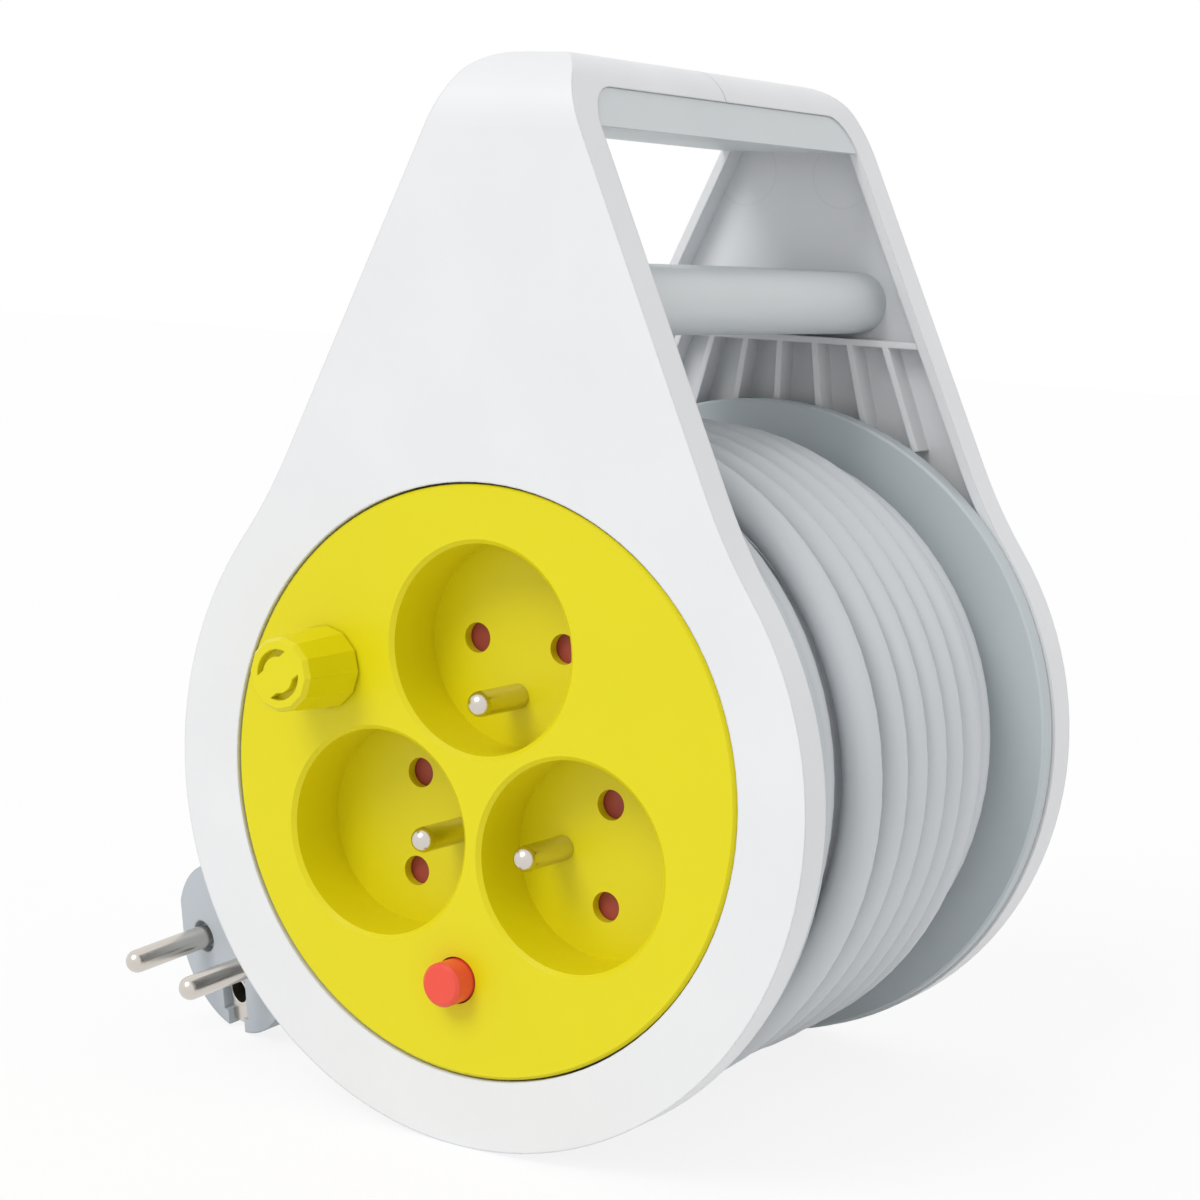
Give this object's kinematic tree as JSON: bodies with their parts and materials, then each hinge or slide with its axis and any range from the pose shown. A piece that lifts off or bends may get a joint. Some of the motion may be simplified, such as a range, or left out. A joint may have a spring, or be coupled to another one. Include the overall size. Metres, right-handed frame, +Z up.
{
  "type": "extension cord reel",
  "caption": "Hand-wound extension cord reel: round plates joined by a carrying strap, a turning drum with recessed earthed sockets, crank knob, reset button and moulded plug.",
  "frame": {"origin": "middle of the footprint, on the surface the reel stands on", "axes": "+Z up through the carrying strap, +Y to the rear along the drum's axis, +X to the right seen from the sockets"},
  "size_m": [0.1622, 0.1296, 0.2],
  "materials": {
    "housing": "satin moulded white",
    "socket_face": "satin moulded yellow",
    "drum": "fine moulded grey",
    "bar": "smooth moulded pale grey",
    "cable": "matt sheathed",
    "plug": "fine grained grey",
    "pin_metal": "bright nickel plate",
    "contact_brass": "stamped",
    "steel": "zinc plated",
    "shutter": "smooth",
    "button": "smooth",
    "insulator": "moulded",
    "dark_plastic": "moulded"
  },
  "bodies": {
    "housing": {"front_shell": "housing", "rear_shell": "housing", "grip_bar": "bar", "strap_grip": "bar", "shell_screws": "steel", "rear_bush": "insulator", "axle_screw": "steel", "axle_washer": "steel", "power_lead": "cable", "plug_strain_relief": "plug", "plug_body": "plug", "plug_pins": "pin_metal", "plug_earth_contact": "pin_metal"},
    "drum": {"well_top": "socket_face", "well_left": "socket_face", "well_right": "socket_face", "socket_plate": "socket_face", "drum_front": "drum", "drum_rear": "drum", "winding_core": "cable", "cable_winding": "cable", "earth_pins": "pin_metal", "earth_bus": "contact_brass", "live_bus": "contact_brass", "neutral_bus": "contact_brass", "contact_sleeves": "contact_brass", "contact_base": "insulator", "thermal_cutout": "dark_plastic", "inner_lead": "cable", "cord_clamp": "dark_plastic", "clamp_screws": "steel", "socket_screws": "steel", "reset_spring": "steel", "shutter_spring_top": "steel", "shutter_spring_left": "steel", "shutter_spring_right": "steel"},
    "crank_knob": {"crank_knob": "socket_face", "knob_clip": "steel"},
    "reset_button": {"reset_button": "button"},
    "shutter_top": {"shutter_top": "shutter"},
    "shutter_left": {"shutter_left": "shutter"},
    "shutter_right": {"shutter_right": "shutter"}
  },
  "joints": [
    {"name": "drum_spin", "type": "hinge", "parent": "housing", "child": "drum", "pos_m": [0, 0, 0.068], "axis": [0, 1, 0], "continuous": true},
    {"name": "knob_spin", "type": "hinge", "parent": "drum", "child": "crank_knob", "pos_m": [-0.0343, -0.05025, 0.0854], "axis": [0, 1, 0], "continuous": true},
    {"name": "button_press", "type": "slide", "parent": "drum", "child": "reset_button", "axis": [0, 1, 0], "range_m": [0, 0.003], "stiffness_N_per_m": 400, "springref_m": -0.002, "deforming": ["reset_spring"]},
    {"name": "shutter_top_slide", "type": "slide", "parent": "drum", "child": "shutter_top", "axis": [0, 0, 1], "range_m": [0, 0.0063], "stiffness_N_per_m": 60, "springref_m": -0.003, "deforming": ["shutter_spring_top"]},
    {"name": "shutter_left_slide", "type": "slide", "parent": "drum", "child": "shutter_left", "axis": [-1, 0, 0], "range_m": [0, 0.0063], "stiffness_N_per_m": 60, "springref_m": -0.003, "deforming": ["shutter_spring_left"]},
    {"name": "shutter_right_slide", "type": "slide", "parent": "drum", "child": "shutter_right", "axis": [1, 0, 0], "range_m": [0, 0.0063], "stiffness_N_per_m": 60, "springref_m": -0.003, "deforming": ["shutter_spring_right"]}
  ]
}
